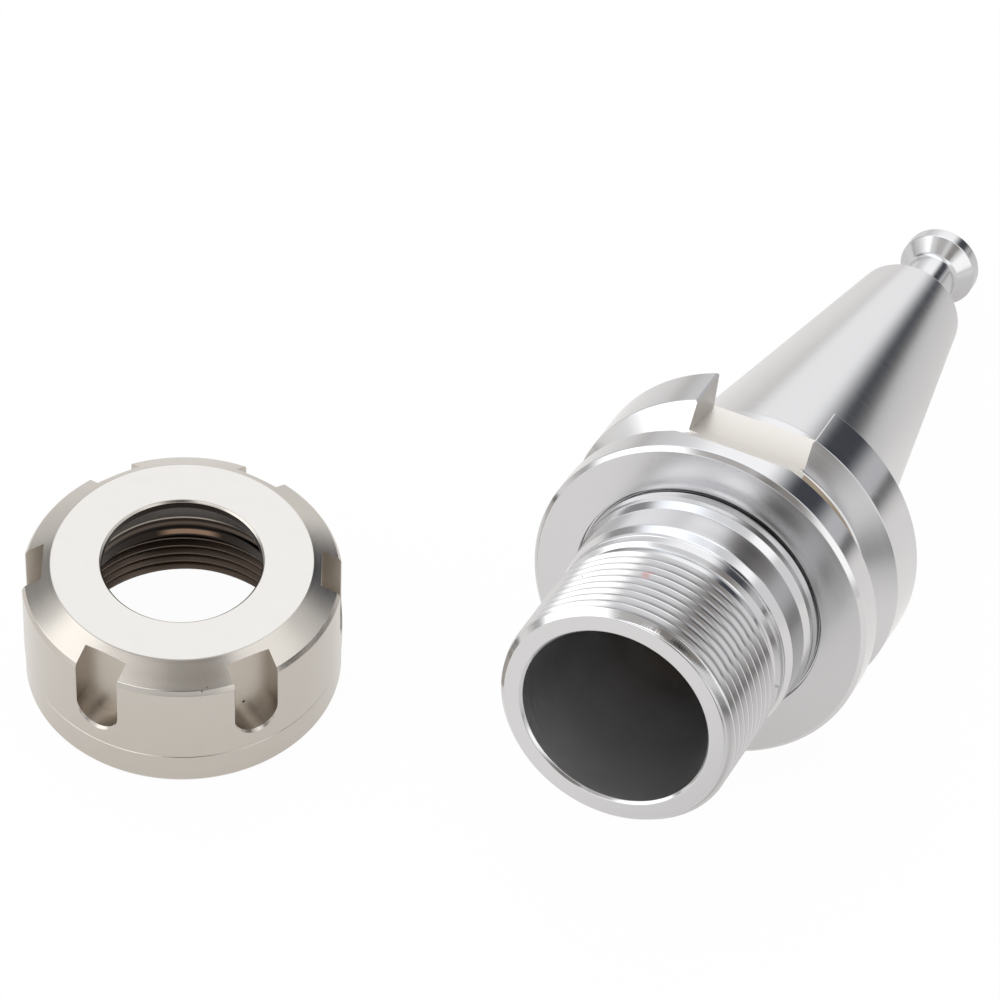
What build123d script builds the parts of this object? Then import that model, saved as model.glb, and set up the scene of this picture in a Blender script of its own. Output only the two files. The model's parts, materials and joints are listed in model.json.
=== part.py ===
from build123d import *
import math
import os

# Collet chuck holder with a steep-taper shank, its pull stud and its clamping nut.
# The nut lies taken off beside the holder, which rests on its flange and its stud.
# All sizes are in millimetres. A place along the holder is measured from the
# flange's front face: the nose is on the negative side, the stud on the positive.

# Shank
taper_rate = 7 / 48
gauge_r = 15.875
taper_length = 48.4
hub_length = 2.0
hub_proud = 0.075
hub_edge = 0.2

# Flange
flange_r = 23.0
flange_length = 20.0
front_edge = 0.6
rear_edge = 0.5
groove_place = 8.4
groove_width = 8.0
groove_depth = 3.7
groove_flank = 30.0

# Two drive slots, milled by a side cutter whose axis lies in the flange's rear face
slot_width = 16.1
slot_floor_rise = 0.15
slot_cutter_r = 25.0
slot_edge = 0.4

# Threaded nose
nose_length = 28.0
thread_r = 15.9
thread_length = 14.8
thread_depth = 0.92
nose_edge = 1.0

# Plain neck between the thread and the flange
relief_depth = 0.75
relief_length = 0.6
lead_length = 1.1
land_step = 0.25
land_length = 2.1
line_place = 0.15
line_width = 0.2
line_depth = 0.15
neck_step = 0.25
neck_rise_length = 1.8
neck_length = 3.7
collar_dip = 0.25
collar_dip_length = 0.7
collar_rise = 0.55
collar_rise_length = 1.6
seal_groove_depth = 0.25
seal_groove_length = 0.6
ring_rise = 0.25
ring_bevel = 0.5

# Turned recess in the flange's front face, round the neck
recess_width = 0.6
recess_depth = 1.8

# Collet socket and the bore behind it
socket_r = 12.5
socket_angle = 8.0
socket_depth = 27.0
socket_edge = 0.25
tail_bore_r = 8.5
tail_bore_end = 17.0
passage_r = 4.5
drill_point = 59.0

# Pull stud, screwed into the small end of the shank
stud_reach = 23.0
stud_collar_length = 8.4
stud_collar_edge = 0.3
stud_neck_r = 3.5
stud_neck_end = 18.6
stud_neck_fillet = 0.8
stud_head_r = 5.5
stud_head_angle = 42.0
stud_head_edge = 0.4
stud_pilot_r = 6.25
stud_pilot_length = 6.0
stud_thread_r = 6.0
stud_thread_end = 20.0
stud_thread_edge = 0.8
stud_clearance = 0.05
stud_hole_spare = 4.0

# Clamping nut
nut_r = 21.0
nut_height = 20.0
nut_base_edge = 0.6
nut_base_edge_in = 0.4
nut_bead_low = 3.3
nut_bead_high = 4.9
nut_bead_depth = 0.12
nut_line_width = 0.25
nut_band_height = 3.0
nut_band_length = 0.7
nut_band_in = 0.4
nut_face_r = 17.15
nut_opening_r = 10.5
nut_opening_edge = 0.3
nut_lip_length = 1.3
nut_cone_length = 4.7
nut_cone_angle = 30.0
nut_ring_length = 3.6
nut_groove_length = 1.8
nut_ring_step = 0.1
nut_ring_offset = 0.5
nut_relief_step = 0.2
nut_relief_length = 2.1
nut_thread_clearance = 0.1
nut_mouth_edge = 0.6

# Spanner slots round the nut
spanner_count = 6
spanner_width = 6.2
spanner_depth = 2.8
spanner_floor_height = 7.8
spanner_edge = 0.3
spanner_turn = 24.2

# Where the nut lies, from the middle of the flange's front face
nut_across = -64.9
nut_along = -18.4

# Places along the holder that follow from the sizes above
gauge_place = flange_length + hub_length
taper_end = gauge_place + taper_length
taper_end_r = gauge_r - taper_rate * taper_length
hub_r = gauge_r + hub_proud
ring_r = thread_r + neck_step - collar_dip + collar_rise + ring_rise
recess_r = ring_r + recess_width
slot_floor = hub_r + slot_floor_rise
socket_end = socket_depth - nose_length
socket_end_r = socket_r - socket_depth * math.tan(math.radians(socket_angle))
stud_tip = taper_end + stud_reach
nut_cone_foot = nut_height - nut_lip_length - nut_cone_length
nut_ring_r = nut_opening_r + nut_cone_length * math.tan(math.radians(nut_cone_angle))


def turned(points, axis=Axis.Y):
    """Turn a closed outline of (radius, place) points round an axis."""
    outline = make_face(Polyline(*points, close=True))
    return revolve(outline, axis=axis, revolution_arc=360)


def nose_outline():
    """Nose chamfer, thread crest and plain neck, as far as the recess floor."""
    thread_end = thread_length - nose_length
    points = [
        (thread_r - nose_edge, -nose_length),
        (thread_r, nose_edge - nose_length),
        (thread_r, thread_end),
    ]
    place = thread_end + relief_depth / 4
    land_r = thread_r - land_step
    points.append((thread_r - relief_depth, place))
    place += relief_length
    points.append((thread_r - relief_depth, place))
    place += lead_length
    points.append((land_r, place))
    line_middle = place + land_length - line_place
    points.append((land_r, line_middle - line_width / 2))
    points.append((land_r - line_depth, line_middle))
    points.append((land_r, line_middle + line_width / 2))
    place += land_length + line_width
    points.append((land_r, place))
    neck_r = thread_r + neck_step
    place += neck_rise_length
    points.append((neck_r, place))
    place += neck_length
    points.append((neck_r, place))
    dip_r = neck_r - collar_dip
    place += collar_dip
    points.append((dip_r, place))
    place += collar_dip_length
    points.append((dip_r, place))
    collar_r = dip_r + collar_rise
    place += collar_rise_length
    points.append((collar_r, place))
    points.append((collar_r - seal_groove_depth, place + seal_groove_depth / 2))
    place += seal_groove_length
    points.append((collar_r - seal_groove_depth, place))
    points.append((ring_r, place + ring_bevel))
    points.append((ring_r, recess_depth))
    return points


def flange_outline():
    """Recess, front face, gripper groove, rims and rear face."""
    half_mouth = groove_width / 2
    half_floor = half_mouth - groove_depth * math.tan(math.radians(groove_flank))
    floor_r = flange_r - groove_depth
    return [
        (recess_r, recess_depth),
        (recess_r, 0),
        (flange_r - front_edge, 0),
        (flange_r, front_edge),
        (flange_r, groove_place - half_mouth),
        (floor_r, groove_place - half_floor),
        (floor_r, groove_place + half_floor),
        (flange_r, groove_place + half_mouth),
        (flange_r, flange_length - rear_edge),
        (flange_r - rear_edge, flange_length),
        (hub_r, flange_length),
    ]


def shank_outline():
    """Hub behind the flange and the steep taper, to its small end."""
    return [
        (hub_r, gauge_place - hub_edge),
        (gauge_r, gauge_place),
        (taper_end_r, taper_end),
    ]


def bore_outline():
    """From the small end inwards: stud hole, passage, tail bore and collet socket."""
    pilot_hole_r = stud_pilot_r + stud_clearance
    thread_hole_r = stud_thread_r + stud_clearance
    pilot_bottom = taper_end - stud_pilot_length - stud_clearance
    thread_bottom = taper_end - stud_thread_end - stud_hole_spare
    return [
        (pilot_hole_r, taper_end),
        (pilot_hole_r, pilot_bottom),
        (thread_hole_r, pilot_bottom),
        (thread_hole_r, thread_bottom),
        (passage_r, thread_bottom - (thread_hole_r - passage_r)),
        (passage_r, tail_bore_end + tail_bore_r - passage_r),
        (tail_bore_r, tail_bore_end),
        (tail_bore_r, socket_end),
        (socket_end_r, socket_end),
        (socket_r, -nose_length + socket_edge),
        (socket_r + socket_edge, -nose_length),
    ]


def slot_corner():
    """Where a slot's bevel meets the flange's rim: across and up from the axis."""
    half = slot_width / 2
    start = math.sqrt(flange_r ** 2 - half ** 2) - slot_edge
    room = flange_r ** 2 - half ** 2 - start ** 2
    grow = (math.sqrt((half + start) ** 2 + 2 * room) - half - start) / 2
    return half + grow, start + grow


def drive_slot():
    """One milled slot with its bevelled outer edges, at the top of the flange."""
    half = slot_width / 2
    floor = Cylinder(radius=slot_cutter_r, height=slot_width, rotation=(0, 90, 0))
    cutter = Pos(0, flange_length, slot_floor + slot_cutter_r) * floor
    corner = math.sqrt(flange_r ** 2 - half ** 2) - slot_edge
    wide = half + 2 * slot_edge
    flare = make_face(
        Plane.XZ
        * Polyline(
            (-half, corner),
            (half, corner),
            (wide, corner + 2 * slot_edge),
            (wide, flange_r + slot_edge),
            (-wide, flange_r + slot_edge),
            (-wide, corner + 2 * slot_edge),
            close=True,
        )
    )
    rim_start = groove_place - flange_length
    bevels = Pos(0, flange_length, 0) * extrude(flare, amount=rim_start, dir=(0, 1, 0))
    return cutter, bevels


def make_holder_body():
    """Nose, flange and shank, turned from one bar, with the slots milled in."""
    outline = nose_outline() + flange_outline() + shank_outline() + bore_outline()
    body = turned(outline)
    for turn in (0, 180):
        for cut in drive_slot():
            body -= Rot(0, turn, 0) * cut
    return body


def make_pull_stud():
    """Stud with a collar that carries the taper on, a slim neck and a gripping head."""
    collar_end = taper_end + stud_collar_length
    collar_end_r = taper_end_r - taper_rate * stud_collar_length
    neck_end = taper_end + stud_neck_end
    head_rise = stud_head_r - stud_neck_r
    head_front = neck_end + head_rise / math.tan(math.radians(stud_head_angle))
    pilot_end = taper_end - stud_pilot_length
    shank_end = taper_end - stud_thread_end
    stud = turned(
        [
            (0, shank_end),
            (stud_thread_r - stud_thread_edge, shank_end),
            (stud_thread_r, shank_end + stud_thread_edge),
            (stud_thread_r, pilot_end),
            (stud_pilot_r, pilot_end),
            (stud_pilot_r, taper_end),
            (taper_end_r, taper_end),
            (collar_end_r + stud_collar_edge * taper_rate, collar_end - stud_collar_edge),
            (collar_end_r - stud_collar_edge, collar_end),
            (stud_neck_r, collar_end),
            (stud_neck_r, neck_end),
            (stud_head_r, head_front),
            (stud_head_r, stud_tip - stud_head_edge),
            (stud_head_r - stud_head_edge, stud_tip),
            (0, stud_tip),
        ]
    )
    ends = (collar_end, neck_end)
    corners = [
        edge
        for edge in stud.edges().filter_by(GeomType.CIRCLE)
        if abs(edge.radius - stud_neck_r) < 0.01
        and min(abs(edge.arc_center.Y - end) for end in ends) < 0.01
    ]
    return fillet(corners, stud_neck_fillet)


def nut_outline():
    """Outer side, clamping cone and face of the nut, then its inside from the top."""
    thread_hole_r = thread_r + nut_thread_clearance
    cone_top = nut_height - nut_lip_length
    ring_foot = nut_cone_foot - nut_ring_length
    relief_r = thread_hole_r + nut_relief_step
    thread_top = ring_foot - nut_relief_length
    band_foot = nut_height - nut_band_height
    bead_r = nut_r - nut_bead_depth
    return [
        (thread_hole_r + nut_mouth_edge, 0),
        (nut_r - nut_base_edge_in, 0),
        (nut_r, nut_base_edge),
        (nut_r, nut_bead_low),
        (bead_r, nut_bead_low + nut_bead_depth),
        (bead_r, nut_bead_high),
        (bead_r - nut_bead_depth, nut_bead_high + nut_line_width / 2),
        (nut_r, nut_bead_high + nut_line_width),
        (nut_r, band_foot),
        (nut_r - nut_band_in, band_foot + nut_band_length),
        (nut_face_r, nut_height),
        (nut_opening_r + nut_opening_edge, nut_height),
        (nut_opening_r, nut_height - nut_opening_edge),
        (nut_opening_r, cone_top),
        (nut_ring_r, nut_cone_foot),
        (nut_ring_r, ring_foot),
        (relief_r, ring_foot),
        (relief_r, thread_top),
        (thread_hole_r, thread_top - nut_relief_step),
        (thread_hole_r, nut_mouth_edge),
    ]


def spanner_slot():
    """One straight-floored slot with a round foot and a bevelled edge, facing +X."""
    half = spanner_width / 2
    top = nut_height + spanner_width
    foot = spanner_floor_height + half
    floor = nut_r - spanner_depth
    bevel_start = math.sqrt(nut_r ** 2 - half ** 2) - spanner_edge
    reach = nut_r + spanner_width

    def slab(start, end, grow):
        side = Pos((start + end) / 2, 0, (foot + top) / 2)
        block = side * Box(end - start, spanner_width + 2 * grow, top - foot)
        round_foot = Cylinder(radius=half + grow, height=end - start, rotation=(0, 90, 0))
        return block + Pos((start + end) / 2, 0, foot) * round_foot

    straight = slab(floor, reach, 0)
    depth = reach - bevel_start
    cone = Cone(half, half + depth, depth, rotation=(0, 90, 0))
    foot_bevel = Pos(bevel_start + depth / 2, 0, foot) * cone
    side = Polyline(
        (bevel_start, -half),
        (bevel_start, half),
        (reach, half + depth),
        (reach, -half - depth),
        close=True,
    )
    side_bevel = Pos(0, 0, foot) * extrude(make_face(side), amount=top - foot)
    return straight, foot_bevel, side_bevel


def extraction_groove():
    """Groove off the nut's axis, which draws the collet out as the nut is undone."""
    groove = Cylinder(radius=nut_ring_r + nut_ring_step, height=nut_groove_length)
    return Pos(nut_ring_offset, 0, nut_cone_foot - nut_groove_length / 2) * groove


def make_clamping_nut():
    """Turned nut, standing on its threaded end, with slots for a hook spanner."""
    nut = turned([(r, place) for r, place in nut_outline()])
    nut = Rot(90, 0, 0) * nut
    nut -= extraction_groove()
    for number in range(spanner_count):
        turn = spanner_turn + number * 360 / spanner_count
        for cut in spanner_slot():
            nut -= Rot(0, 0, turn) * cut
    return nut


def holder_rest():
    """Lay the holder down: two slot corners of the rear rim and the stud's head touch."""
    rim_r = slot_corner()[1]
    rim_place = flange_length - rear_edge
    head_place = stud_tip - stud_head_edge
    tilt = math.atan2(rim_r - stud_head_r, head_place - rim_place)
    height = rim_place * math.sin(tilt) + rim_r * math.cos(tilt)
    return Pos(0, 0, height) * Rot(-math.degrees(tilt), 0, 0)


def main():
    """Write every piece in one frame, its origin under the middle of the whole object."""
    rest = holder_rest()
    pieces = {
        "holder_body": rest * make_holder_body(),
        "pull_stud": rest * make_pull_stud(),
        "clamping_nut": Pos(nut_across, nut_along, 0) * make_clamping_nut(),
    }
    box = Compound(children=[piece.solid() for piece in pieces.values()]).bounding_box()
    middle = (box.min + box.max) / 2
    os.makedirs("parts", exist_ok=True)
    for name, piece in pieces.items():
        placed = Pos(-middle.X, -middle.Y, 0) * piece.solid()
        export_step(placed, f"parts/{name}.step")


main()
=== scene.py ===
import json
import math

import bmesh
import bpy
from mathutils import Matrix, Vector

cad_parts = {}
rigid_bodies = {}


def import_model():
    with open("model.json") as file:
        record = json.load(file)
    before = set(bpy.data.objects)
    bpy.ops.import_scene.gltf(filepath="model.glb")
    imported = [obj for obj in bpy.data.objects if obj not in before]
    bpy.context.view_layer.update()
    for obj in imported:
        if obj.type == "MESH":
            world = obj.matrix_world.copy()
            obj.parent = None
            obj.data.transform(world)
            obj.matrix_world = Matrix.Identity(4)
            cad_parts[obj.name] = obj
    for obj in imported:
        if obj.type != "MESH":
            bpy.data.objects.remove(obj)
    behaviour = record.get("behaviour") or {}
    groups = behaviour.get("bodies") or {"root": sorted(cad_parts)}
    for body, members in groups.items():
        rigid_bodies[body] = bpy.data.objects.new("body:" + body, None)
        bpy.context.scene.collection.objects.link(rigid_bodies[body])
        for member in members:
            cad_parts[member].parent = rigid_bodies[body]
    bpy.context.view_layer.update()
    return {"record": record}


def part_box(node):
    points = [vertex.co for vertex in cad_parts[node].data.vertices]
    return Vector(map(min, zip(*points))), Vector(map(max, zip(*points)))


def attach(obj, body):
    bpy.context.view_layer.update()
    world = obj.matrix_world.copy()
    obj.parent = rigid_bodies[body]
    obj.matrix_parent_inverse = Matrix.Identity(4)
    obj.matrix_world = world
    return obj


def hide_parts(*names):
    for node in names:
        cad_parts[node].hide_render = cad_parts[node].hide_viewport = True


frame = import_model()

mounts = {mount["name"]: mount for mount in frame["record"]["mounts"]}


# Camera
# The view is a long lens from the nose's side, well above the surface, turned a little
# round its own axis. Its place and angles come from the edges measured in the picture.
camera_place = Vector((0.19125, -0.47482, 0.55696))
camera_heading = math.radians(22.734)
camera_pitch = math.radians(47.243)
camera_roll = math.radians(2.441)
camera_sensor = 36.0
camera_lens = 199.48

camera_data = bpy.data.cameras.new("view")
camera_data.sensor_width = camera_sensor
camera_data.lens = camera_lens
camera_data.clip_start = 0.05
camera_data.clip_end = 20.0
camera = bpy.data.objects.new("view", camera_data)
bpy.context.scene.collection.objects.link(camera)
camera.matrix_world = (
    Matrix.Translation(camera_place)
    @ Matrix.Rotation(camera_heading, 4, "Z")
    @ Matrix.Rotation(math.pi / 2 - camera_pitch, 4, "X")
    @ Matrix.Rotation(camera_roll, 4, "Z")
)
bpy.context.scene.camera = camera


# Holder body: nose, neck, flange and shank
# One bar of hardened steel, turned, threaded at the nose, milled with two drive slots
# and a gripper groove, and ground on the taper. Sizes are in millimetres.
MM = 0.001
TURN = 2 * math.pi
turn_steps = 256
mill_steps = 360
smooth_angle = math.radians(24)
touch = 0.01
taper_rate = 7 / 48
gauge_place = 22.0
gauge_r = 15.875
taper_end = 70.4
flange_r = 23.0
flange_end = 20.0
groove_place = 8.4
groove_half_mouth = 4.0
groove_half_floor = 1.86
groove_floor_r = 19.3
hub_r = 15.95
nose_face = -28.0
nose_thread_r = 15.9
nose_thread_end = -13.2
thread_pitch = 1.5
thread_depth = 0.9
thread_crest = 0.2
thread_flank = math.radians(30)
thread_lead = 1.08
nose_thread_turns = 12
neck_relief_r = 14.95
neck_land_r = 15.65
neck_r = 16.15
neck_dip_r = 15.9
neck_collar_r = 16.45
neck_ring_r = 16.7
recess_r = 17.0
recess_floor = 0.8
socket_r = 12.5
socket_end = -1.0
socket_end_r = 8.705
tail_bore_r = 8.5
tail_bore_end = 17.0
passage_r = 4.5
stud_hole_r = 6.05
stud_hole_end = 46.4
pilot_hole_r = 6.3
pilot_hole_end = 64.35
edge_break = 0.06

taper_end_r = gauge_r - taper_rate * (taper_end - gauge_place)

# Each corner of the outline is a radius, a place along the axis and how far it is broken
holder_outline = [
    (14.9, nose_face, 0.12),
    (nose_thread_r, -27.0, edge_break),
    (nose_thread_r, nose_thread_end, edge_break),
    (neck_relief_r, nose_thread_end, 0.1),
    (neck_relief_r, -11.3, 0.15),
    (neck_land_r, -10.95, edge_break),
    (neck_land_r, -9.65, 0.03),
    (neck_land_r - 0.15, -9.55, 0.0),
    (neck_land_r, -9.45, 0.03),
    (neck_land_r, -8.95, 0.1),
    (neck_r, -7.7, 0.15),
    (neck_r, -4.0, 0.05),
    (neck_dip_r, -3.75, 0.08),
    (neck_dip_r, -3.3, 0.12),
    (neck_collar_r, -2.1, 0.08),
    (neck_collar_r, -1.2, 0.06),
    (neck_ring_r, -0.5, 0.14),
    (neck_ring_r, recess_floor, 0.1),
    (recess_r, recess_floor, 0.1),
    (recess_r, 0.0, 0.08),
    (flange_r - 0.6, 0.0, 0.05),
    (flange_r, 0.6, 0.08),
    (flange_r, groove_place - groove_half_mouth, edge_break),
    (groove_floor_r, groove_place - groove_half_floor, 0.3),
    (groove_floor_r, groove_place + groove_half_floor, 0.3),
    (flange_r, groove_place + groove_half_mouth, 0.1),
    (flange_r, flange_end - 0.5, 0.08),
    (flange_r - 0.5, flange_end, 0.08),
    (hub_r, flange_end, 0.2),
    (hub_r, gauge_place - 0.2, 0.05),
    (gauge_r, gauge_place, 0.05),
    (taper_end_r, taper_end, 0.0),
    (pilot_hole_r, taper_end, 0.0),
    (pilot_hole_r, pilot_hole_end, 0.0),
    (stud_hole_r, pilot_hole_end, 0.0),
    (stud_hole_r, stud_hole_end, 0.0),
    (passage_r, stud_hole_end - 1.55, 0.0),
    (passage_r, tail_bore_end + 4.0, 0.0),
    (tail_bore_r, tail_bore_end, 0.0),
    (tail_bore_r, socket_end, 0.05),
    (socket_end_r, socket_end, 0.05),
    (socket_r, nose_face + 0.35, 0.08),
    (socket_r + 0.35, nose_face, 0.08),
]


def turn_outline(outline, steps, closed=True):
    """Break the corners of an outline and spin it round the Y axis into a skin."""
    shape = bmesh.new()
    verts = [shape.verts.new((radius, place, 0)) for radius, place, broken in outline]
    ends = verts[1:] + verts[:1] if closed else verts[1:]
    for start, end in zip(verts, ends):
        shape.edges.new((start, end))
    corners = list(zip(verts, outline))
    for vert, (radius, place, broken) in corners:
        if broken:
            bmesh.ops.bevel(
                shape,
                geom=[vert],
                offset=broken,
                offset_type="OFFSET",
                segments=3,
                profile=0.5,
                affect="VERTICES",
                material=-1,
            )
    bmesh.ops.spin(
        shape,
        geom=shape.verts[:] + shape.edges[:],
        cent=(0, 0, 0),
        axis=(0, 1, 0),
        angle=TURN,
        steps=steps,
        use_merge=True,
    )
    bmesh.ops.remove_doubles(shape, verts=shape.verts, dist=1e-5)
    bmesh.ops.recalc_face_normals(shape, faces=shape.faces)
    return shape


def thread_cutter(root_r, mouth_r, first, turns, steps):
    """A helical V groove: its section is spun round the Y axis and moved by the pitch."""
    half_mouth = (thread_pitch - thread_crest) / 2
    half_root = half_mouth - thread_depth * math.tan(thread_flank)
    past = 0.05 if mouth_r > root_r else -0.05
    section = [
        (mouth_r + past, -half_mouth - 0.02),
        (mouth_r + past, half_mouth + 0.02),
        (root_r + past, half_root),
        (root_r, 0.0),
        (root_r + past, -half_root),
    ]
    shape = bmesh.new()
    verts = [shape.verts.new((radius, first + place, 0)) for radius, place in section]
    for start, end in zip(verts, verts[1:] + verts[:1]):
        shape.edges.new((start, end))
    bmesh.ops.spin(
        shape,
        geom=shape.verts[:] + shape.edges[:],
        cent=(0, 0, 0),
        axis=(0, 1, 0),
        dvec=(0, thread_pitch / steps, 0),
        angle=TURN,
        steps=steps,
        use_merge=False,
    )
    one_turn = shape.verts[:] + shape.edges[:] + shape.faces[:]
    for number in range(1, turns):
        copy = bmesh.ops.duplicate(shape, geom=one_turn)["geom"]
        moved = [item for item in copy if isinstance(item, bmesh.types.BMVert)]
        bmesh.ops.translate(shape, vec=(0, thread_pitch * number, 0), verts=moved)
    bmesh.ops.remove_doubles(shape, verts=shape.verts, dist=1e-4)
    bmesh.ops.holes_fill(shape, edges=shape.edges, sides=len(section))
    bmesh.ops.recalc_face_normals(shape, faces=shape.faces)
    return shape


def cut_away(shape, cutters):
    """Take the cutters' solids out of a shape, one after another."""
    scene_objects = bpy.context.scene.collection.objects
    mesh = bpy.data.meshes.new("stock")
    shape.to_mesh(mesh)
    shape.free()
    stock = bpy.data.objects.new("stock", mesh)
    scene_objects.link(stock)
    for cutter in cutters:
        tool_mesh = bpy.data.meshes.new("tool")
        cutter.to_mesh(tool_mesh)
        cutter.free()
        tool = bpy.data.objects.new("tool", tool_mesh)
        scene_objects.link(tool)
        cut = stock.modifiers.new("cut", "BOOLEAN")
        cut.operation = "DIFFERENCE"
        cut.solver = "MANIFOLD"
        cut.object = tool
        view = bpy.context.evaluated_depsgraph_get()
        done = bpy.data.meshes.new_from_object(stock.evaluated_get(view))
        stock.modifiers.clear()
        old = stock.data
        stock.data = done
        bpy.data.objects.remove(tool)
        bpy.data.meshes.remove(tool_mesh)
        bpy.data.meshes.remove(old)
    result = bmesh.new()
    result.from_mesh(stock.data)
    last = stock.data
    bpy.data.objects.remove(stock)
    bpy.data.meshes.remove(last)
    return result


def block(low, high):
    """A box between two corners."""
    size = Vector(high) - Vector(low)
    middle = (Vector(high) + Vector(low)) / 2
    shape = bmesh.new()
    bmesh.ops.create_cube(shape, size=1.0)
    bmesh.ops.scale(shape, vec=size, verts=shape.verts)
    bmesh.ops.translate(shape, vec=middle, verts=shape.verts)
    return shape


def disc(radius, half_width, steps, grow=0.0):
    """A disc along the X axis, or a cone where it grows from one end to the other."""
    shape = bmesh.new()
    bmesh.ops.create_cone(
        shape,
        cap_ends=True,
        segments=steps,
        radius1=radius,
        radius2=radius + grow,
        depth=2 * half_width,
        matrix=Matrix.Rotation(math.pi / 2, 4, "Y"),
    )
    return shape


slot_width = 16.1
slot_floor = 16.1
slot_cutter_r = 25.0
slot_edge = 0.4


def slot_cutters(turn):
    """The side cutter that mills a drive slot, and the bevel of the slot's two edges."""
    half = slot_width / 2
    floor = disc(slot_cutter_r, half, mill_steps)
    bmesh.ops.translate(floor, vec=(0, flange_end, slot_floor + slot_cutter_r), verts=floor.verts)
    corner = math.sqrt(flange_r ** 2 - half ** 2) - slot_edge
    bevels = block((-half, groove_place, corner), (half, flange_end + 2, flange_r + 1))
    top = [vert for vert in bevels.verts if vert.co.z > corner + 0.1]
    for vert in top:
        vert.co.x += math.copysign(flange_r + 1 - corner, vert.co.x)
    for shape in (floor, bevels):
        bmesh.ops.rotate(shape, cent=(0, 0, 0), matrix=Matrix.Rotation(turn, 3, "Y"), verts=shape.verts)
    return [floor, bevels]


def turned_normals(shape, axis, steps):
    """Shading normals at the corners of every face of a shape turned round an axis.

    A round face keeps the slope it was turned to, and where a large face meets the small
    ones of a broken corner, the large one stays straight.
    """
    first, second = [number for number in range(3) if number != axis]
    alike = math.cos(smooth_angle)
    widest_turn = 1.6 * TURN / steps
    most_sideways = 0.03
    least_area = 1e-9
    shape.normal_update()
    shape.faces.ensure_lookup_table()
    ways = []
    for face in shape.faces:
        middle = face.calc_center_median()
        way = math.atan2(middle[second], middle[first])
        sideways = face.normal[second] * math.cos(way) - face.normal[first] * math.sin(way)
        turns = [
            math.remainder(math.atan2(vert.co[second], vert.co[first]) - way, TURN)
            for vert in face.verts
        ]
        round_face = abs(sideways) < most_sideways and max(turns) - min(turns) < widest_turn
        ways.append((way if round_face else None, face.calc_area()))
    normals = []
    for face in shape.faces:
        for vert in face.verts:
            total = Vector((0, 0, 0))
            vert_way = math.atan2(vert.co[second], vert.co[first])
            for other in vert.link_faces:
                if other is not face and other.normal.dot(face.normal) < alike:
                    continue
                way, area = ways[other.index]
                normal = other.normal.copy()
                if way is not None:
                    turn = vert_way - way
                    across, up = normal[first], normal[second]
                    normal[first] = across * math.cos(turn) - up * math.sin(turn)
                    normal[second] = across * math.sin(turn) + up * math.cos(turn)
                total += normal * (area + least_area)
            normals.append(total.normalized())
    return normals


def finish_piece(shape, name, place, axis, steps, materials):
    """Put a shape in its place in the frame, smooth its round faces and make its object."""
    turning = place.to_quaternion()
    normals = [turning @ normal for normal in turned_normals(shape, axis, steps)]
    bmesh.ops.transform(shape, matrix=place, verts=shape.verts)
    mesh = bpy.data.meshes.new(name)
    shape.to_mesh(mesh)
    shape.free()
    for material in materials:
        mesh.materials.append(material)
    mesh.shade_smooth()
    mesh.normals_split_custom_set(normals)
    piece = bpy.data.objects.new(name, mesh)
    bpy.context.scene.collection.objects.link(piece)
    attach(piece, "root")
    return piece


holder_axis = Vector(mounts["shank_taper"]["axis"])
holder_side = Vector((1, 0, 0))
holder_up = holder_side.cross(holder_axis)
holder_face = Vector(mounts["shank_taper"]["pos_m"]) - holder_axis * gauge_place * MM
holder_place = Matrix.Translation(holder_face) @ Matrix(
    (holder_side, holder_axis, holder_up)
).transposed().to_4x4() @ Matrix.Scale(MM, 4)

holder_shape = turn_outline(holder_outline, turn_steps)
nose_thread = thread_cutter(
    root_r=nose_thread_r - thread_depth,
    mouth_r=nose_thread_r,
    first=nose_face - thread_lead,
    turns=nose_thread_turns,
    steps=turn_steps,
)
drive_slots = slot_cutters(0.0) + slot_cutters(math.pi)
holder_shape = cut_away(holder_shape, [nose_thread] + drive_slots)


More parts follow.
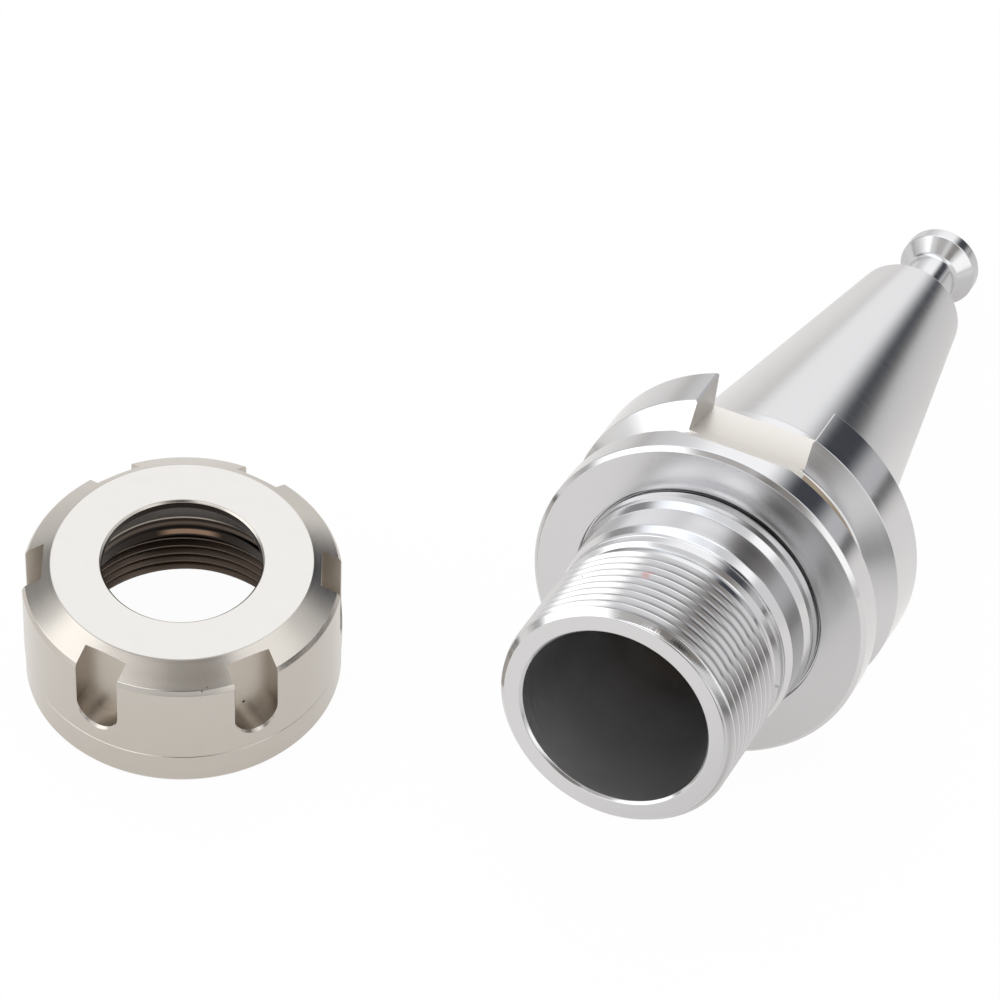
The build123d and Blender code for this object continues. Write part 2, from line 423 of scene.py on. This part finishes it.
class Field:
    """A socket of a material that takes part in sums as a number does."""

    def __init__(self, tree, socket):
        self.tree = tree
        self.socket = socket

    def node(self, kind, settings=None, output=0, **values):
        """Add a node of this kind, set it up, feed its sockets and give one output."""
        made = self.tree.nodes.new(kind)
        for name, value in (settings or {}).items():
            setattr(made, name, value)
        for name, value in values.items():
            key = int(name[1:]) if name[0] == "i" and name[1:].isdigit() else name.replace("_", " ")
            target = made.inputs[key]
            if isinstance(value, Field):
                self.tree.links.new(value.socket, target)
            else:
                target.default_value = value
        return Field(self.tree, made.outputs[output])

    def math(self, operation, *others):
        values = {f"i{number}": value for number, value in enumerate((self, *others))}
        return self.node("ShaderNodeMath", {"operation": operation}, **values)

    def __add__(self, other):
        return self.math("ADD", other)

    def __sub__(self, other):
        return self.math("SUBTRACT", other)

    def __mul__(self, other):
        return self.math("MULTIPLY", other)

    def __truediv__(self, other):
        return self.math("DIVIDE", other)

    def __pow__(self, other):
        return self.math("POWER", other)

    def __rsub__(self, other):
        return self.node("ShaderNodeMath", {"operation": "SUBTRACT"}, i0=other, i1=self)

    __radd__ = __add__
    __rmul__ = __mul__

    def step(self, low, high):
        """Rise smoothly from 0 to 1 between two values."""
        return self.node(
            "ShaderNodeMapRange",
            {"interpolation_type": "SMOOTHSTEP"},
            Value=self,
            From_Min=low,
            From_Max=high,
        )

    def between(self, low, high, soft):
        """1 between two values, falling to 0 over a soft edge."""
        away = (self - (low + high) / 2).math("ABSOLUTE")
        half = (high - low) / 2
        return away.step(half + soft, half - soft)

    def noise(self, scale, detail=2.0, rough=0.5):
        """Noise along one line, from this value."""
        return self.node(
            "ShaderNodeTexNoise",
            {"noise_dimensions": "1D"},
            W=self,
            Scale=scale,
            Detail=detail,
            Roughness=rough,
        )

    def spot(self, point, size):
        """1 at a point and 0 from this far away on."""
        away = self.node(
            "ShaderNodeVectorMath", {"operation": "DISTANCE"}, output=1, i0=self, i1=point
        )
        return 1 - away.step(size * 0.4, size)

    def mix(self, other, share):
        """Blend this colour into another."""
        return share.blend(self, other)

    def blend(self, first, second):
        """With this value as the share, blend one colour into another."""
        return self.node(
            "ShaderNodeMix", {"data_type": "RGBA"}, output=2, i0=self, i6=first, i7=second
        )


def start_metal(name, centre, turned):
    """A bare material, and the place of each point measured from a centre in millimetres."""
    material = bpy.data.materials.new(name)
    material.use_nodes = True
    tree = material.node_tree
    tree.nodes.clear()
    shader = tree.nodes.new("ShaderNodeBsdfPrincipled")
    out = tree.nodes.new("ShaderNodeOutputMaterial")
    tree.links.new(shader.outputs[0], out.inputs[0])
    coords = tree.nodes.new("ShaderNodeTexCoord")
    mapping = tree.nodes.new("ShaderNodeMapping")
    mapping.vector_type = "TEXTURE"
    mapping.inputs["Location"].default_value = centre
    mapping.inputs["Rotation"].default_value = turned
    mapping.inputs["Scale"].default_value = (MM, MM, MM)
    tree.links.new(coords.outputs["Object"], mapping.inputs["Vector"])
    place = Field(tree, mapping.outputs["Vector"])
    split = tree.nodes.new("ShaderNodeSeparateXYZ")
    tree.links.new(place.socket, split.inputs[0])
    x, y, z = (Field(tree, split.outputs[number]) for number in range(3))
    return material, shader, place, x, y, z


def feed(shader, name, value):
    """Give one of the shader's sockets a constant or a field."""
    if isinstance(value, Field):
        value.tree.links.new(value.socket, shader.inputs[name])
    else:
        shader.inputs[name].default_value = value


holder_tilt = math.atan2(-holder_axis.z, holder_axis.y)
# Colour of the painted shade in the roots of the nose thread
thread_root_painted_shade = (0.27, 0.26, 0.25, 1)


def ground_steel(name, tint, dark, rough, line_depth, marks=()):
    """Turned and ground steel: fine lines round the axis over a bright metal."""
    material, shader, place, x, y, z = start_metal(name, holder_face, (-holder_tilt, 0, 0))
    radius = (x * x + z * z) ** 0.5
    along = y + radius * 0.7
    cloud = place.node("ShaderNodeTexNoise", Vector=place, Scale=0.35, Detail=3.0)
    lines = along.noise(9.0, 3.0, 0.7)
    bands = along.noise(0.9, 2.0)
    shade = (lines - 0.5) * 0.16 + (bands - 0.5) * 0.12 + (cloud - 0.5) * 0.08
    base = (0.5 + shade).blend((*dark, 1), (*tint, 1))
    # Painted shade: darker towards the roots of the nose thread's grooves
    in_thread = y.between(nose_face + 0.7, nose_thread_end, 0.2)
    in_thread = in_thread * radius.step(socket_r + 0.1, socket_r + 0.3)
    near_root = 1 - radius.step(nose_thread_r - thread_depth, nose_thread_r - 0.15)
    base = base.mix(thread_root_painted_shade, in_thread * near_root * 0.8)
    for point, size, colour in marks:
        base = base.mix((*colour, 1), place.spot(point, size))
    feed(shader, "Base Color", base)
    feed(shader, "Metallic", 1.0)
    on_face = radius.step(recess_r + 0.05, recess_r + 0.2) * (1 - y.step(0.03, 0.1))
    groove_start = groove_place - groove_half_mouth + 0.05
    groove_stop = groove_place + groove_half_mouth - 0.05
    on_flanks = y.between(groove_start, groove_stop, 0.04)
    on_flanks = on_flanks * (1 - radius.step(flange_r - 0.2, flange_r - 0.05))
    on_taper = y.step(gauge_place - 1.5, gauge_place + 0.5)
    satin = on_face * 0.14 + on_flanks * 0.1 + on_taper * 0.05
    feed(shader, "Roughness", rough + satin + (lines - 0.5) * 0.08 + (bands - 0.5) * 0.06)
    height = lines + along.noise(30.0, 2.0, 0.8) * 0.4
    bump = place.node("ShaderNodeBump", Strength=1.0, Distance=line_depth * MM, Height=height)
    feed(shader, "Normal", bump)
    return material


# A faint reddish fleck and two dark specks on the thread: place, size and colour
steel_marks = [
    ((-1.8, -18.13, 15.5), 0.9, (0.62, 0.44, 0.44)),
    ((-10.7, -19.32, 11.36), 0.22, (0.2, 0.18, 0.16)),
    ((-9.9, -18.6, 12.2), 0.16, (0.25, 0.23, 0.2)),
]
ground = ground_steel(
    "ground_steel", (0.66, 0.66, 0.67), (0.58, 0.58, 0.59), 0.1, 0.002, marks=steel_marks
)
milled = ground_steel("milled_steel", (0.74, 0.71, 0.67), (0.66, 0.63, 0.59), 0.42, 0.004)
socket = ground_steel("socket_steel", (0.64, 0.64, 0.65), (0.54, 0.54, 0.55), 0.32, 0.02)
# The gripper groove's floor: painted shade, darker and browner than the ground steel
groove_painted_shade = ground_steel("groove_floor_painted_shade", (0.5, 0.41, 0.31), (0.38, 0.31, 0.23), 0.3, 0.004)

holder = finish_piece(
    holder_shape, "holder_steel", holder_place, 1, turn_steps, [ground, milled, socket, groove_painted_shade]
)
slot_start = 2.0
slot_reach = slot_floor + 3.2
for face in holder.data.polygons:
    spot = face.center - holder_face
    along = spot.dot(holder_axis) / MM
    across = spot.x / MM
    high = abs(spot.dot(holder_up)) / MM
    off_axis = math.hypot(across, high)
    beside_slot = abs(across) < slot_width / 2 + touch and slot_start < along < flange_end + touch
    in_slot = beside_slot and off_axis > slot_floor - 0.05
    on_rim = off_axis > flange_r - 2 * touch
    flat = abs(face.normal.x) > 0.99 or high < slot_reach
    at_groove = abs(along - groove_place) < groove_half_floor + 0.05
    in_groove = at_groove and off_axis < groove_floor_r + 0.05
    in_socket = off_axis < socket_r + 2 * touch and nose_face + 0.2 < along < tail_bore_end + 5
    if in_slot and flat and not on_rim:
        face.material_index = 1
    # The gripper groove's floor takes the material painted darker as shade
    elif in_groove:
        face.material_index = 3
    elif in_socket:
        face.material_index = 2
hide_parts("holder_body")


# Pull stud
# Turned from one bar and screwed tight into the small end of the shank. Its collar
# carries the taper on, and the spindle's gripper pulls on the cone behind its head.
stud_steps = 160
collar_end = 78.8
collar_end_r = gauge_r - taper_rate * (collar_end - gauge_place)
stud_neck_r = 3.5
stud_cone_start = 89.0
stud_cone_end = 91.22
stud_head_r = 5.5
stud_tip = 93.4
stud_start = 50.4
stud_thread_r = 6.0
stud_pilot_r = 6.25
stud_pilot_start = 64.4

stud_outline = [
    (0.0, stud_start, 0.0),
    (stud_thread_r - 0.8, stud_start, 0.0),
    (stud_thread_r, stud_start + 0.8, 0.0),
    (stud_thread_r, stud_pilot_start, 0.0),
    (stud_pilot_r, stud_pilot_start, 0.0),
    (stud_pilot_r, taper_end, 0.0),
    (taper_end_r, taper_end, 0.0),
    (collar_end_r, collar_end, 0.35),
    (stud_neck_r, collar_end, 0.8),
    (stud_neck_r, stud_cone_start, 0.5),
    (stud_head_r, stud_cone_end, 0.1),
    (stud_head_r, stud_tip, 0.35),
    (0.0, stud_tip, 0.0),
]
stud_shape = turn_outline(stud_outline, stud_steps, closed=False)
polished = ground_steel("polished_steel", (0.66, 0.66, 0.67), (0.58, 0.58, 0.59), 0.1, 0.001)
stud = finish_piece(stud_shape, "stud_steel", holder_place, 1, stud_steps, [polished])
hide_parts("pull_stud")


# Clamping nut
# Turned from one bar, threaded inside, milled with six spanner slots and plated with
# satin nickel. Inside, a cone and an off-centre groove press and draw the collet.
nut_steps = 240
nut_low, nut_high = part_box("clamping_nut")
nut_centre = (nut_low + nut_high) / 2
nut_r = 21.0
nut_height = 20.0
nut_opening_r = 10.5
nut_thread_root = 16.0
nut_thread_top = 8.2
nut_thread_first = -1.0
nut_thread_turns = 7
nut_relief_r = 16.2
nut_cone_r = 13.21
nut_cone_end = 14.0
nut_lip_end = 10.4
collar_groove_r = 13.31
collar_groove_width = 1.8
collar_groove_middle = 13.1
collar_groove_shift = 0.5
end_mill_steps = 96
spanner_count = 6
spanner_half = 3.1
spanner_floor = 18.2
spanner_foot = 7.8
spanner_edge = 0.12
spanner_turn = math.radians(24.2)
slot_step = TURN / spanner_count

nut_outline = [
    (16.6, 0.0, 0.1),
    (20.5, 0.0, 0.1),
    (nut_r - 0.1, 0.6, 0.15),
    (nut_r - 0.1, 4.85, 0.03),
    (nut_r - 0.25, 4.97, 0.0),
    (nut_r, 5.12, 0.08),
    (nut_r, 17.0, 0.1),
    (nut_r - 0.4, 17.7, 0.1),
    (17.15, nut_height, 0.12),
    (nut_opening_r + 0.3, nut_height, 0.08),
    (nut_opening_r, nut_height - 0.3, 0.08),
    (nut_opening_r, 18.7, 0.1),
    (nut_cone_r, nut_cone_end, 0.1),
    (nut_cone_r, nut_lip_end, 0.1),
    (nut_relief_r, nut_lip_end, 0.2),
    (nut_relief_r, nut_thread_top, 0.1),
    (nut_thread_root - thread_depth, nut_thread_top, edge_break),
    (nut_thread_root - thread_depth, 1.5, 0.1),
]


def nut_spanner_cutters(turn):
    """One slot's end mill, its straight way up, and the bevel round its edge."""
    foot = spanner_foot + spanner_half
    top = nut_height + 4.0
    reach = nut_r + 3.0
    start = math.sqrt(nut_r ** 2 - spanner_half ** 2) - spanner_edge
    way = block((spanner_floor, -spanner_half, foot), (reach, spanner_half, top))
    mill = disc(spanner_half, (reach - spanner_floor) / 2, end_mill_steps)
    bmesh.ops.translate(mill, vec=((reach + spanner_floor) / 2, 0, foot), verts=mill.verts)
    bevel = disc(spanner_half, (reach - start) / 2, end_mill_steps, grow=reach - start)
    bmesh.ops.translate(bevel, vec=((reach + start) / 2, 0, foot), verts=bevel.verts)
    sides = block((start, -spanner_half, foot), (reach, spanner_half, top))
    for vert in sides.verts:
        if vert.co.x > start + 0.1:
            vert.co.y += math.copysign(reach - start, vert.co.y)
    shapes = [way, mill, bevel, sides]
    for shape in shapes:
        bmesh.ops.recalc_face_normals(shape, faces=shape.faces)
        bmesh.ops.rotate(shape, cent=(0, 0, 0), matrix=Matrix.Rotation(turn, 3, "Z"), verts=shape.verts)
    return shapes


nut_shape = turn_outline(nut_outline, nut_steps)
nut_thread = thread_cutter(
    root_r=nut_thread_root,
    mouth_r=nut_thread_root - thread_depth,
    first=nut_thread_first,
    turns=nut_thread_turns,
    steps=nut_steps,
)
nut_shape = cut_away(nut_shape, [nut_thread])
nut_upright = Matrix.Rotation(math.pi / 2, 3, "X")
bmesh.ops.rotate(nut_shape, cent=(0, 0, 0), matrix=nut_upright, verts=nut_shape.verts)
nut_cutters = []
for number in range(spanner_count):
    nut_cutters += nut_spanner_cutters(spanner_turn + number * slot_step)
groove = bmesh.new()
bmesh.ops.create_cone(
    groove,
    cap_ends=True,
    segments=nut_steps,
    radius1=collar_groove_r,
    radius2=collar_groove_r,
    depth=collar_groove_width,
    matrix=Matrix.Translation((collar_groove_shift, 0, collar_groove_middle)),
)
nut_cutters.append(groove)
nut_shape = cut_away(nut_shape, nut_cutters)
nut_place = Matrix.Translation((nut_centre.x, nut_centre.y, nut_low.z)) @ Matrix.Scale(MM, 4)


def nickel(name, tint, dark, rough, line_depth, marks=(), painted_light_rings=()):
    """Satin nickel over turned steel, with fine lines round the nut's axis."""
    centre = (nut_centre.x, nut_centre.y, nut_low.z)
    material, shader, place, x, y, z = start_metal(name, centre, (0, 0, 0))
    radius = (x * x + y * y) ** 0.5
    along = z - radius * 0.7
    cloud = place.node("ShaderNodeTexNoise", Vector=place, Scale=0.4, Detail=3.0)
    lines = along.noise(10.0, 3.0, 0.7)
    bands = along.noise(1.1, 2.0)
    shade = (lines - 0.5) * 0.14 + (bands - 0.5) * 0.14 + (cloud - 0.5) * 0.3
    base = (0.5 + shade).blend((*dark, 1), (*tint, 1))
    sideways = x * math.cos(camera_heading) + y * math.sin(camera_heading)
    # Painted light: bands by height, lighter as painted highlights or darker as painted shade, each
    # reaching a set distance to either side of the camera's line of sight
    for low, high, reach, colour in painted_light_rings:
        in_view_strip = sideways.between(-reach, reach, 1.2)
        base = base.mix((*colour, 1), z.between(low, high, 0.12) * in_view_strip)
    for point, size, colour in marks:
        base = base.mix((*colour, 1), place.spot(point, size))
    feed(shader, "Base Color", base)
    feed(shader, "Metallic", 1.0)
    feed(shader, "Roughness", rough + (lines - 0.5) * 0.08 + (bands - 0.5) * 0.05)
    bump = place.node("ShaderNodeBump", Strength=1.0, Distance=line_depth * MM, Height=lines)
    feed(shader, "Normal", bump)
    return material


# A few small marks: place, size and colour. The bands inside the nut are painted light: a
# painted highlight at the cone's lower edge, a faint painted reflection and a line of painted
# shade in the groove, and a warm painted highlight on the lip below it, only in a strip in line
# with the camera: height from and to, how far to each side they reach, and colour
satin_marks = [
    ((11.5, -17.2, 17.62), 0.2, (0.26, 0.22, 0.19)),
    ((11.9, -16.5, 17.9), 0.16, (0.3, 0.26, 0.22)),
    ((12.4, -16.9, 17.4), 0.2, (0.9, 0.86, 0.8)),
]
slot_marks = [((14.4, -11.14, 10.78), 0.3, (0.02, 0.015, 0.01))]
inner_painted_light_rings = [
    (13.82, 14.2, 30.0, (0.5, 0.45, 0.38)),
    (12.6, 13.2, 30.0, (0.11, 0.085, 0.07)),
    (11.9, 12.3, 30.0, (0.006, 0.004, 0.003)),
    (10.75, 11.65, 3.4, (0.33, 0.22, 0.15)),
]
satin = nickel(
    "satin_nickel", (0.57, 0.54, 0.50), (0.49, 0.46, 0.42), 0.2, 0.005, marks=satin_marks
)
slotted = nickel(
    "milled_nickel", (0.56, 0.515, 0.46), (0.46, 0.415, 0.365), 0.36, 0.004, marks=slot_marks
)
# Painted shade: the thread inside the nut is made dark where the inside lies in shade
nut_thread_painted_shade = nickel("nut_thread_darkened_as_shade", (0.15, 0.115, 0.095), (0.09, 0.07, 0.055), 0.24, 0.003)
# Painted shade and painted highlights: the cone and groove inside the nut are near black, with the
# bands of painted light below
cone_painted_light = nickel(
    "cone_painted_shade_and_highlights", (0.034, 0.026, 0.021), (0.02, 0.015, 0.012), 0.28, 0.004, painted_light_rings=inner_painted_light_rings
)
nut = finish_piece(
    nut_shape, "nut_nickel", nut_place, 2, nut_steps, [satin, slotted, nut_thread_painted_shade, cone_painted_light]
)
for face in nut.data.polygons:
    spot = (face.center - Vector((nut_centre.x, nut_centre.y, nut_low.z))) / MM
    off_axis = math.hypot(spot.x, spot.y)
    turn = math.atan2(spot.y, spot.x) - spanner_turn
    nearest = spanner_turn + round(turn / slot_step) * slot_step
    slot_way = Vector((math.cos(nearest), math.sin(nearest), 0))
    reach = spot.dot(slot_way)
    across = abs(spot.x * slot_way.y - spot.y * slot_way.x)
    inside = off_axis < nut_thread_root + 0.3 and spot.z < nut_height - 0.35
    in_slot = across < spanner_half + touch and spot.z > spanner_foot - touch
    on_floor = abs(reach - spanner_floor) < 3 * touch
    on_wall = reach > spanner_floor and abs(face.normal.dot(slot_way)) < 0.15
    # The inside takes the materials darkened as painted shade
    if inside:
        face.material_index = 3 if spot.z > nut_thread_top + 0.2 else 2
    elif in_slot and (on_floor or on_wall):
        face.material_index = 1
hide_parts("clamping_nut")


# Surface and light
# A plain white surface under the object in a bright room with soft boxes round it. The
# surface shows white to the camera. In the metal it glows, with painted shade far off in some
# headings and over the back half, and it keeps the soft shadow.
floor_size = 6.0
floor_seen_white = (1.07, 1.04, 1.01)
floor_camera_share = 0.97
floor_gloss_share = 0.62
floor_gloss_far_share = 0.3
floor_far_start = -0.1
floor_far_end = 0.55
plain_white = (1, 1, 1, 1)

floor_mesh = bpy.data.meshes.new("floor")
floor_shape = bmesh.new()
bmesh.ops.create_grid(floor_shape, x_segments=1, y_segments=1, size=floor_size / 2)
floor_shape.to_mesh(floor_mesh)
floor_shape.free()
floor = bpy.data.objects.new("floor", floor_mesh)
bpy.context.scene.collection.objects.link(floor)


def rays_seen(tree):
    """1 for camera rays, and 1 for rays that come by a gloss or through glass."""
    path = tree.nodes.new("ShaderNodeLightPath")
    camera_ray = Field(tree, path.outputs["Is Camera Ray"])
    glossy_ray = Field(tree, path.outputs["Is Glossy Ray"])
    through_ray = Field(tree, path.outputs["Is Transmission Ray"])
    return camera_ray, (glossy_ray + through_ray).math("MINIMUM", 1.0)


def directions(tree, vector):
    """Heading of a vector in degrees, 0 at the back and growing to the right, and its parts."""
    split = tree.nodes.new("ShaderNodeSeparateXYZ")
    tree.links.new(vector, split.inputs[0])
    x, y, z = (Field(tree, split.outputs[number]) for number in range(3))
    return x.math("ARCTAN2", y) * math.degrees(1), x, y, z


white = bpy.data.materials.new("white_surface")
white.use_nodes = True
tree = white.node_tree
tree.nodes.clear()
floor_out = tree.nodes.new("ShaderNodeOutputMaterial")
floor_blend = tree.nodes.new("ShaderNodeMixShader")
floor_glow = tree.nodes.new("ShaderNodeEmission")
floor_matt = tree.nodes.new("ShaderNodeBsdfDiffuse")
floor_matt.inputs["Color"].default_value = (0.92, 0.92, 0.92, 1)
camera_ray, seen = rays_seen(tree)
floor_coords = tree.nodes.new("ShaderNodeTexCoord")
heading, x, y, z = directions(tree, floor_coords.outputs["Object"])
distance = (x * x + y * y) ** 0.5
far = distance.step(floor_far_start, floor_far_end)
# Painted shade on the surface's glow in the metal, where the far surface is dimmer: heading from and
# to, softness, and how much
painted_far_shade = 0.0
for start, stop, soft, much in (
    (5, 50, 7, 0.85),
    (-62, -20, 10, 0.3),
    (122, 166, 7, 0.78),
    (-106, -86, 6, 0.35),
):
    painted_far_shade = heading.between(start, stop, soft) * much + painted_far_shade
# A little painted shade on the surface's glow over the back half
back = heading.between(-60, 75, 15) * 0.1
floor_level = (1 - far * painted_far_shade) * (1 - back)
floor_light = floor_level.node(
    "ShaderNodeVectorMath", {"operation": "SCALE"}, i0=floor_seen_white, i3=floor_level
)
floor_light = floor_light.mix(plain_white, camera_ray)
tree.links.new(floor_light.socket, floor_glow.inputs["Color"])
gloss_share = floor_gloss_share + far * floor_gloss_far_share
share = camera_ray * floor_camera_share + seen * gloss_share
tree.links.new(share.socket, floor_blend.inputs[0])
tree.links.new(floor_matt.outputs[0], floor_blend.inputs[1])
tree.links.new(floor_glow.outputs[0], floor_blend.inputs[2])
tree.links.new(floor_blend.outputs[0], floor_out.inputs[0])
floor_mesh.materials.append(white)

# Each panel of the room: its colour, heading from and to, height from and to, how soft its
# edges are across and up, and how far it leans to the right as it rises, all in degrees
room_white = (0.95, 0.95, 0.95)
room_panels = [
    ("horizon behind, left", (0.82, 0.82, 0.82), (-64, -32), (-10, 8), (6, 5), 0),
    ("soft box behind, low", (1.2, 1.2, 1.2), (-25, 30), (-12, 20), (7, 6), 0),
    ("soft box behind", (1.4, 1.4, 1.4), (-24, 30), (15, 40), (7, 6), 0),
    ("ceiling box behind", (1.66, 1.72, 1.82), (-70, 20), (34, 68), (8, 10), 0),
    ("dark gap behind, right", (0.075, 0.08, 0.095), (4.5, 30.5), (-14, 38), (8.5, 6), 0.32),
    ("horizon behind, right", (0.66, 0.66, 0.68), (27, 43), (-14, 9), (5, 4), 0),
    ("window box, right", (1.5, 1.5, 1.5), (56, 106), (40, 62), (6, 5), 0),
    ("soft box, right", (1.5, 1.5, 1.49), (102, 129), (8, 43), (4, 5), 0),
    ("right, near the surface", (0.84, 0.84, 0.84), (104, 132), (-10, 4), (6, 4), 0),
    ("person at the camera", (0.31, 0.29, 0.27), (130, 173), (25, 66), (7, 5), 0),
    ("dark coat", (0.05, 0.05, 0.055), (146, 160), (36, 50), (4, 4), 0),
    ("arm of the camera stand", (0.36, 0.34, 0.32), (110, 150), (52, 68), (7, 4), 0),
    ("front, near the surface", (0.44, 0.43, 0.42), (134, 172), (-12, 7), (5, 5), 0),
    ("ceiling in front, left", (0.64, 0.62, 0.6), (174, 238), (55, 80), (8, 4), 0),
    ("lamp above the camera", (2.4, 2.4, 2.4), (172, 212), (42, 55), (6, 4), 0),
    ("soft box, left", (1.98, 1.98, 1.98), (211, 259), (7, 52), (4, 4), 0),
    ("gap beside the left box", (0.36, 0.36, 0.36), (267, 297), (3, 29), (5, 6), 0),
    ("left, near the surface", (0.6, 0.6, 0.6), (253, 274), (-8, 6), (4, 4), 0),
]
world = bpy.data.worlds.new("studio")
bpy.context.scene.world = world
world.use_nodes = True
tree = world.node_tree
tree.nodes.clear()
world_out = tree.nodes.new("ShaderNodeOutputWorld")
world_sky = tree.nodes.new("ShaderNodeBackground")
tree.links.new(world_sky.outputs[0], world_out.inputs[0])
sky_coords = tree.nodes.new("ShaderNodeTexCoord")
heading, x, y, z = directions(tree, sky_coords.outputs["Generated"])
height = z.math("ARCSINE") * math.degrees(1)
light = (*room_white, 1)
for name, colour, across, up, (soft_across, soft_up), lean in room_panels:
    straight = heading - height * lean
    wrapped = [end - 360 for end in across]
    if across[0] > 190:
        around = straight.between(*wrapped, soft_across)
    else:
        around = straight.between(*across, soft_across)
    if across[0] < 180 < across[1]:
        around = around + straight.between(*wrapped, soft_across)
    mask = around * height.between(*up, soft_up)
    light = mask.blend(light, (*colour, 1))
camera_ray, seen = rays_seen(tree)
light = light.mix(plain_white, camera_ray)
tree.links.new(light.socket, world_sky.inputs["Color"])

bpy.context.scene.view_settings.view_transform = "Standard"
